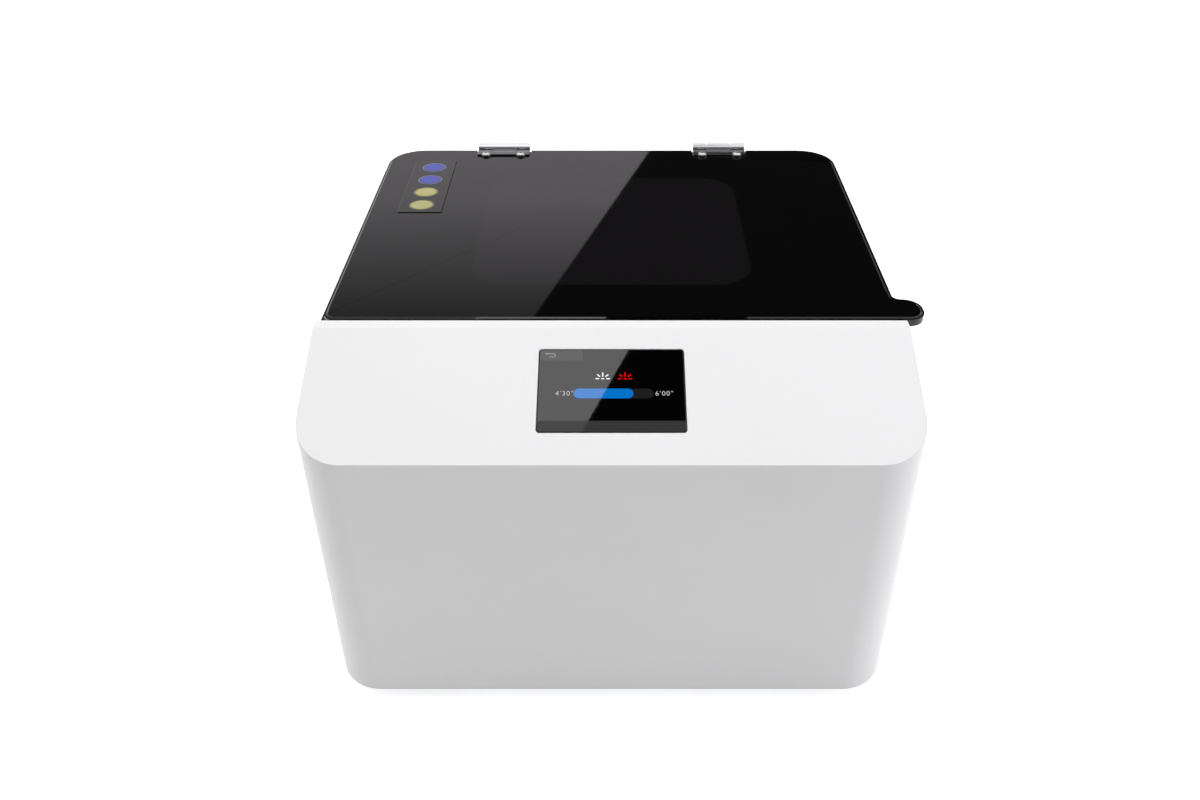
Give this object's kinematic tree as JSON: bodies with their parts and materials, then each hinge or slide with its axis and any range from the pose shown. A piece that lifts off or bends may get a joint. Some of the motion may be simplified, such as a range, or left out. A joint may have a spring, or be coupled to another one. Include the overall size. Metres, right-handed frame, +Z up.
{
  "type": "dental lab light curing unit",
  "caption": "White bench box with a tilted touch screen panel and a hinged black lid over a mirrored LED curing chamber with a turntable.",
  "frame": {"origin": "on the bench under the middle of the whole outline, tab and hinges included", "axes": "+X to the user's right, +Y to the back, +Z up"},
  "size_m": [0.3212, 0.3188, 0.2058],
  "materials": {
    "housing_white": "satin white paint",
    "deck_black": "glossy dark grey",
    "lid_black": "polished black sheet",
    "strip_black": "satin black film",
    "soft_black": "matt",
    "hinge_steel": "polished",
    "screw_steel": "polished",
    "base_steel": "zinc plated",
    "liner_mirror": "mirror",
    "sink_aluminium": "extruded",
    "pane_glass": "clear",
    "table_glass": "frosted",
    "screen_glass": "black cover glass",
    "board_green": "solder mask",
    "board_white": "white solder mask",
    "led_resin": "clear yellowish",
    "black_plastic": "moulded",
    "grey_plastic": "moulded",
    "motor_metal": "satin",
    "brass_metal": "turned",
    "parts_mixed": "moulded"
  },
  "bodies": {
    "housing": {"housing_shell": "housing_white", "base_plate": "base_steel", "rubber_feet": "soft_black", "foot_screws": "screw_steel", "base_screws": "screw_steel", "top_deck": "deck_black", "deck_screws": "screw_steel", "chamber_gasket": "soft_black", "chamber_liner": "liner_mirror", "liner_screws": "screw_steel", "led_windows": "pane_glass", "led_emitters": "led_resin", "led_board_right": "board_white", "led_board_rear": "board_white", "led_board_left": "board_white", "led_board_front": "board_white", "heat_sink_right": "sink_aluminium", "heat_sink_rear": "sink_aluminium", "heat_sink_left": "sink_aluminium", "heat_sink_front": "sink_aluminium", "heat_sink_screws": "screw_steel", "turntable_motor": "motor_metal", "motor_screws": "screw_steel", "power_supply": "sink_aluminium", "power_supply_parts": "parts_mixed", "control_board": "board_green", "control_board_parts": "parts_mixed", "board_standoffs": "brass_metal", "board_screws": "screw_steel", "display_glass": "screen_glass", "display_lcd": "grey_plastic", "display_bracket": "base_steel", "display_spacers": "brass_metal", "display_board": "board_green", "display_screws": "screw_steel", "fan_frame_right": "black_plastic", "fan_frame_left": "black_plastic", "fan_screws": "screw_steel", "power_inlet": "black_plastic", "inlet_pins": "brass_metal", "inlet_screws": "screw_steel", "switch_body": "black_plastic", "lid_sensor": "board_green", "hinge_back_leaf_right": "hinge_steel", "hinge_back_leaf_left": "hinge_steel", "hinge_pins": "hinge_steel", "back_hinge_screws": "screw_steel"},
    "lid": {"lid_panel": "lid_black", "lid_inner_frame": "black_plastic", "lid_strip": "strip_black", "lid_magnet": "screw_steel", "hinge_lid_leaf_right": "hinge_steel", "hinge_lid_leaf_left": "hinge_steel", "lid_hinge_screws": "screw_steel"},
    "turntable": {"turntable_plate": "table_glass", "turntable_hub": "grey_plastic", "turntable_shaft": "screw_steel"},
    "fan_right": {"fan_rotor_right": "grey_plastic"},
    "fan_left": {"fan_rotor_left": "grey_plastic"},
    "rocker": {"switch_rocker": "grey_plastic"}
  },
  "joints": [
    {"name": "lid_hinge", "type": "hinge", "parent": "housing", "child": "lid", "pos_m": [-0.00565, 0.1564, 0.20284], "axis": [-1, 0, 0], "range_deg": [0, 100]},
    {"name": "turntable_spin", "type": "hinge", "parent": "housing", "child": "turntable", "pos_m": [-0.00565, 0.0336, 0.08864], "axis": [0, 0, 1], "continuous": true},
    {"name": "fan_right_spin", "type": "hinge", "parent": "housing", "child": "fan_right", "pos_m": [0.04035, 0.1456, 0.112], "axis": [0, 1, 0], "continuous": true},
    {"name": "fan_left_spin", "type": "hinge", "parent": "housing", "child": "fan_left", "pos_m": [-0.05165, 0.1456, 0.112], "axis": [0, 1, 0], "continuous": true},
    {"name": "rocker_tilt", "type": "hinge", "parent": "housing", "child": "rocker", "pos_m": [0.05235, 0.1541, 0.038], "axis": [1, 0, 0], "range_deg": [0, 20]}
  ]
}
